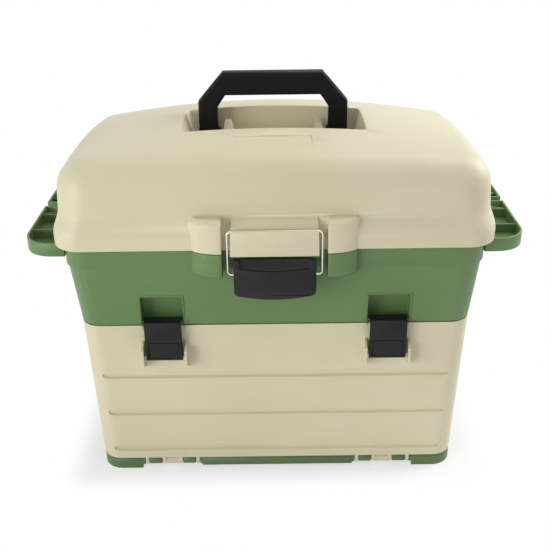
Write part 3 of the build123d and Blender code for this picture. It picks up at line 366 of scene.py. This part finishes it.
# %% [markdown]
# A solid straight from the modeller has knife edges, and no moulding has those: the tool maker breaks
# every edge by a few tenths of a millimetre, and that thin round catches the light. Modelling every
# shell anew would lose the fit of its solid. So each moulding is a merged copy of its solid, whose
# flat faces are joined, with a small bevel on every sharp edge. The bevel goes by edge weights that
# are worked out here, because slivers in the mesh fold back on themselves, and a bevel on such a fold
# would throw up a spike.

# %% Angles at the edges
sharp = math.radians(28)
fold = math.radians(150)


def edge_angles(mesh):
    """The angle between the two faces at each edge: the arc cosine of their normals' dot product."""
    corner_edges = np.empty(len(mesh.loops), int)
    mesh.loops.foreach_get("edge_index", corner_edges)
    corner_counts = np.empty(len(mesh.polygons), int)
    mesh.polygons.foreach_get("loop_total", corner_counts)
    normals = np.empty(3 * len(mesh.polygons))
    mesh.polygons.foreach_get("normal", normals)
    corner_normals = np.repeat(normals.reshape(-1, 3), corner_counts, axis=0)
    order = np.argsort(corner_edges, kind="stable")
    uses = np.bincount(corner_edges, minlength=len(mesh.edges))
    first = (np.cumsum(uses) - uses)[uses == 2]
    dot = (corner_normals[order[first]] * corner_normals[order[first + 1]]).sum(axis=1)
    angles = np.zeros(len(mesh.edges))
    angles[uses == 2] = np.arccos(np.clip(dot, -1, 1))
    return angles


print("edges are broken from", round(math.degrees(sharp)), "to", round(math.degrees(fold)), "degrees")

# %% Copies with broken edges
flat = math.radians(0.5)
weld = 0.005 * mm
edge_segments = 2


def dressed(node, finish, edge, reshape=None, crease=None):
    """A merged copy of a node's mesh, which replaces the node. Its edges are broken by a bevel as wide as
    edge. If given, reshape moves its points first, and the shading breaks at edges sharper than crease."""
    mesh = nodes[node].data.copy()
    mesh.name = node + "_finished"
    if reshape:
        points = np.empty(3 * len(mesh.vertices))
        mesh.vertices.foreach_get("co", points)
        mesh.vertices.foreach_set("co", reshape(points.reshape(-1, 3)).ravel())
    shape = bmesh.new()
    shape.from_mesh(mesh)
    bmesh.ops.remove_doubles(shape, verts=shape.verts, dist=weld)
    bmesh.ops.dissolve_degenerate(shape, edges=shape.edges, dist=weld)
    bmesh.ops.dissolve_limit(shape, angle_limit=flat, verts=shape.verts, edges=shape.edges)
    bmesh.ops.connect_verts_concave(shape, faces=shape.faces)
    shape.to_mesh(mesh)
    shape.free()
    mesh.shade_smooth()
    if crease:
        mesh.set_sharp_from_angle(angle=crease)
    angles = edge_angles(mesh)
    weights = mesh.attributes.new("bevel_weight_edge", "FLOAT", "EDGE")
    weights.data.foreach_set("value", ((angles > sharp) & (angles < fold)).astype(np.float32))
    mesh.materials.clear()
    mesh.materials.append(finish)
    piece = bpy.data.objects.new(node + "_finished", mesh)
    scene.collection.objects.link(piece)
    bevel = piece.modifiers.new("broken_edges", "BEVEL")
    bevel.width = edge
    bevel.segments = edge_segments
    bevel.limit_method = "WEIGHT"
    bevel.use_clamp_overlap = False
    bevel.harden_normals = True
    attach(piece, nodes[node]["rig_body"])
    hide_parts(node)
    print(piece.name, len(mesh.polygons), "faces")


print("faces within", round(math.degrees(flat), 1), "degrees are joined")

# %% [markdown]
# The door's grooves take one more step. On the real door each is a lap, like the boards of a fence: it
# sinks slowly from its upper edge and ends on a crisp ledge. The solid has square grooves at the same
# places, so the lap needs no new mesh. The points on a groove's floor and rim are found by their
# place, and are moved to the lap's slope while the copy is made.

# %% Laps of the door
door_foot, door_head = 13.6 * mm, 186.0 * mm
door_foot_y, door_head_y = -120.0 * mm, -123.8 * mm
groove_floor = 1.5 * mm
groove_height = 6.0 * mm
groove_levels = (27.5 * mm, 75.5 * mm, 123.5 * mm)
lap_height = 7.6 * mm
lap_ledge = 1.7 * mm
lap_start = 1.5 * mm
lap_depth = 2.7 * mm
lap_crease = math.radians(15)
near = 0.05 * mm


def lapped(points):
    """Square grooves turned into laps: heights stretch about the groove's middle to lap_height, the floor
    ends lap_ledge above the lower edge, and its depth grows evenly from lap_start to lap_depth."""
    points = points.copy()
    lean = (door_head_y - door_foot_y) / (door_head - door_foot)
    floor_share = 1 - lap_ledge / lap_height
    for level in groove_levels:
        middle_y = door_foot_y + lean * (level - door_foot)
        height = points[:, 2] - level
        in_band = np.abs(height) < groove_height / 2 + near
        on_floor = in_band & (np.abs(points[:, 1] - middle_y - groove_floor) < near)
        on_rim = in_band & (np.abs(points[:, 1] - middle_y - lean * height) < near)
        fall = np.where(on_floor, floor_share, 1) * (0.5 - height / groove_height)
        new_height = level + lap_height * (0.5 - fall)
        sunk = np.where(on_floor, lap_start + (lap_depth - lap_start) * fall / floor_share, 0)
        moved = on_floor | on_rim
        points[moved, 1] = (door_foot_y + lean * (new_height - door_foot) + sunk)[moved]
        points[moved, 2] = new_height[moved]
        print("lap at", round(level / mm, 1), "mm:", int(moved.sum()), "points moved")
    return points


print("laps:", len(groove_levels), "of", lap_height / mm, "mm")

# %% Dress the mouldings
lid_edge = 0.7 * mm
shell_edge = 0.6 * mm
door_edge = 0.2 * mm
fitting_edge = 0.5 * mm
drawer_edge = 0.4 * mm

dressed("lid", cream, lid_edge)
dressed("upper_bin", green, shell_edge)
# The base takes the darker green, which is painted shade.
dressed("lower_chest", painted_shade_green, shell_edge)
dressed("front_door", cream, door_edge, reshape=lapped, crease=lap_crease)
for node, finish in (
    ("side_grip_left", green),
    ("side_grip_right", green),
    ("carry_handle", jet),
    ("latch_lever", charcoal),
    ("clip_left", charcoal),
    ("clip_right", charcoal),
):
    dressed(node, finish, fitting_edge)
for node in ("lift_out_tray", "drawer_bottom", "drawer_middle", "drawer_top"):
    dressed(node, frosted, drawer_edge)

# %% [markdown]
# Three small things are said by formula, and each is a stack of outlines: one outline to a row of the
# grid, skinned with quads, and capped at both ends. Blender has primitives for such forms, but a grid
# that is worked out carries its edge breaks and bends with it, and needs no modifier.

# %% Outlines and skins
crease = math.radians(40)


def skinned(name, rows, finish, body):
    """A closed skin over a stack of outlines, an array of rows x points x 3: each point joins the next
    one in its outline and its twin in the next outline, and a flat cap closes each end."""
    count, around = rows.shape[:2]
    index = np.arange(count * around).reshape(count, around)
    after = np.roll(index, -1, axis=1)
    quads = np.stack([index[:-1], after[:-1], after[1:], index[1:]], axis=-1).reshape(-1, 4)
    caps = [index[0, ::-1].tolist(), index[-1].tolist()]
    mesh = bpy.data.meshes.new(name)
    mesh.from_pydata(rows.reshape(-1, 3).tolist(), [], quads.tolist() + caps)
    shape = bmesh.new()
    shape.from_mesh(mesh)
    bmesh.ops.recalc_face_normals(shape, faces=shape.faces)
    shape.to_mesh(mesh)
    shape.free()
    mesh.shade_smooth()
    mesh.set_sharp_from_angle(angle=crease)
    mesh.materials.append(finish)
    piece = bpy.data.objects.new(name, mesh)
    scene.collection.objects.link(piece)
    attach(piece, body)
    print(name, len(mesh.polygons), "faces")
    return piece


def circle(points):
    """Cosines and sines of evenly spaced angles, a row for each point of a circle of radius one."""
    angle = (np.arange(points) + 0.5) * 2 * np.pi / points
    return np.stack([np.cos(angle), np.sin(angle)], axis=1)


print("shading breaks at", round(math.degrees(crease)), "degrees")

# %% [markdown]
# The bail is one length of plated wire, bent four times, with its two ends hooked into the lever. A
# curve object with a round bevel would do as well. Here a circle is carried along straight runs and
# quarter arcs instead, so that the wire's size and place come from the solid's own box.

# %% Path of the bail
bail_bend = 4.0 * mm
bail_end_depth = 5.5 * mm
bail_low, bail_high = (np.array(corner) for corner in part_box("latch_bail"))
wire_radius = (bail_high[1] - bail_low[1]) / 2
bail_half = bail_high[0] - wire_radius
bail_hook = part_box("latch_lever")[1][0] - bail_end_depth
bail_foot, bail_head = bail_low[2] + wire_radius, bail_high[2] - wire_radius
half_route = [(bail_hook, bail_foot), (bail_half, bail_foot), (bail_half, bail_head)]
bail_route = np.array([(-x, z) for x, z in half_route] + half_route[::-1])


def bent(corners, bend, steps=10):
    """Straight runs between corners, each right angle rounded: the arc's centre is the corner plus bend
    along both runs, and its points are centre - bend (leave cos t - arrive sin t), t to a quarter turn."""
    ahead = np.diff(corners, axis=0)
    ahead /= np.linalg.norm(ahead, axis=1, keepdims=True)
    arrive, leave = ahead[:-1, None], ahead[1:, None]
    centre = corners[1:-1, None] + bend * (leave - arrive)
    turn = np.linspace(0, np.pi / 2, steps)[None, :, None]
    arcs = centre - bend * (leave * np.cos(turn) - arrive * np.sin(turn))
    return np.vstack([corners[:1], arcs.reshape(-1, 2), corners[-1:]])


bail_path = bent(bail_route, bail_bend)
print("bail:", len(bail_path), "points, wire", round(2 * wire_radius / mm, 2), "mm thick")

# %% Wire bail
def wire(path, y, radius, points=20):
    """A round wire on a path in the plane of x and z, at the depth y: its points are
    path + radius (normal cos t + depth sin t), where normal is square to the path in that plane and
    depth is the unit along y."""
    ahead = np.gradient(path, axis=0)
    ahead /= np.linalg.norm(ahead, axis=1, keepdims=True)
    normal = np.stack([-ahead[:, 1], np.zeros(len(path)), ahead[:, 0]], axis=1)
    middle = np.stack([path[:, 0], np.full(len(path), y), path[:, 1]], axis=1)
    ring = radius * circle(points)
    return middle[:, None] + ring[None, :, :1] * normal[:, None] + ring[None, :, 1:] * np.array([0, 1, 0])


bail_rows = wire(bail_path, (bail_low[1] + bail_high[1]) / 2, wire_radius)
bail_body = nodes["latch_bail"]["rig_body"]
bail = skinned("latch_bail_wire", bail_rows, wire_bright, bail_body)
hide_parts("latch_bail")

# %% [markdown]
# Each clip has a shallow recess for a fingertip, and in it stands a flat panel with a fine moat around
# it. The moat is what the eye sees: a dark line around a lighter face. A line in the finish would
# vanish from the side, so the panel is a solid of its own: a rounded rectangle, set back in the
# recess, whose front edge is broken.

# %% Finger panels of the clips
panel_rail = 3.0 * mm
panel_moat = 0.9 * mm
panel_recess = 1.2 * mm
panel_sunk = 0.3 * mm
panel_foot = 3.8 * mm
panel_drop = 23.3 * mm
panel_corner = 1.0 * mm
panel_edge = 0.3 * mm


def rounded(half_width, half_height, corner, points=32):
    """A rounded rectangle: the points of a circle of radius corner, moved out to the four corners."""
    ring = circle(points)
    return np.sign(ring) * (np.array([half_width, half_height]) - corner) + corner * ring


for node in ("clip_left", "clip_right"):
    low, high = (np.array(corner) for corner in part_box(node))
    half_width = (high[0] - low[0]) / 2 - panel_rail - panel_moat
    span = (low[2] + panel_foot, high[2] - panel_drop - panel_moat)
    half_height = (span[1] - span[0]) / 2
    middle = np.array([(low[0] + high[0]) / 2, (span[0] + span[1]) / 2])
    face = low[1] + panel_sunk
    levels = ((low[1] + panel_recess + panel_edge, 0), (face + panel_edge, 0), (face, panel_edge))
    rows = []
    for y, inset in levels:
        outline = rounded(half_width - inset, half_height - inset, panel_corner) + middle
        rows.append(np.stack([outline[:, 0], np.full(len(outline), y), outline[:, 1]], axis=1))
    skinned(node + "_panel", np.array(rows), charcoal, nodes[node]["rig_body"])

# %% [markdown]
# The door turns on pins in two bays of the base. Round bosses close both ends of each bay, so that the
# door can't slide far along its pin. A cylinder would have a knife edge, so each boss is a stack of
# three circles around the pin: it starts inside the bay's wall and ends with a broken edge.

# %% Bosses at the ends of the hinge bays
boss_radius = 5.5 * mm
boss_length = 2.4 * mm
boss_seat = 0.3 * mm
boss_edge = 0.4 * mm
boss_points = 40
bay_wall = 3.0 * mm
boss_stations = (
    (-boss_seat, boss_radius),
    (boss_length - boss_edge, boss_radius),
    (boss_length, boss_radius - boss_edge),
)

for side in ("left", "right"):
    low, high = (np.array(corner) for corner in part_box("door_hinge_pin_" + side))
    axis_yz = (low[1:] + high[1:]) / 2
    for end, wall, inward in (("low", low[0] + bay_wall, 1), ("high", high[0] - bay_wall, -1)):
        rows = []
        for reach, radius in boss_stations:
            ring = radius * circle(boss_points) + axis_yz
            rows.append(np.column_stack([np.full(len(ring), wall + inward * reach), ring]))
        # The bosses take the base's darker green, which is painted shade.
        skinned(f"hinge_boss_{side}_{end}", np.array(rows), painted_shade_green, "case")

# %% [markdown]
# The rest of the solids are right as they are: pins, screws, dividers and the walls of the tray. Each
# takes the finish of its slot in the record.

# %% Finishes on the carried-over solids
for node, slot in slots.items():
    solid = nodes[node]
    solid.data.materials.clear()
    solid.data.materials.append(finishes[slot])
print("carried over:", sum(not solid.hide_render for solid in nodes.values()), "solids")
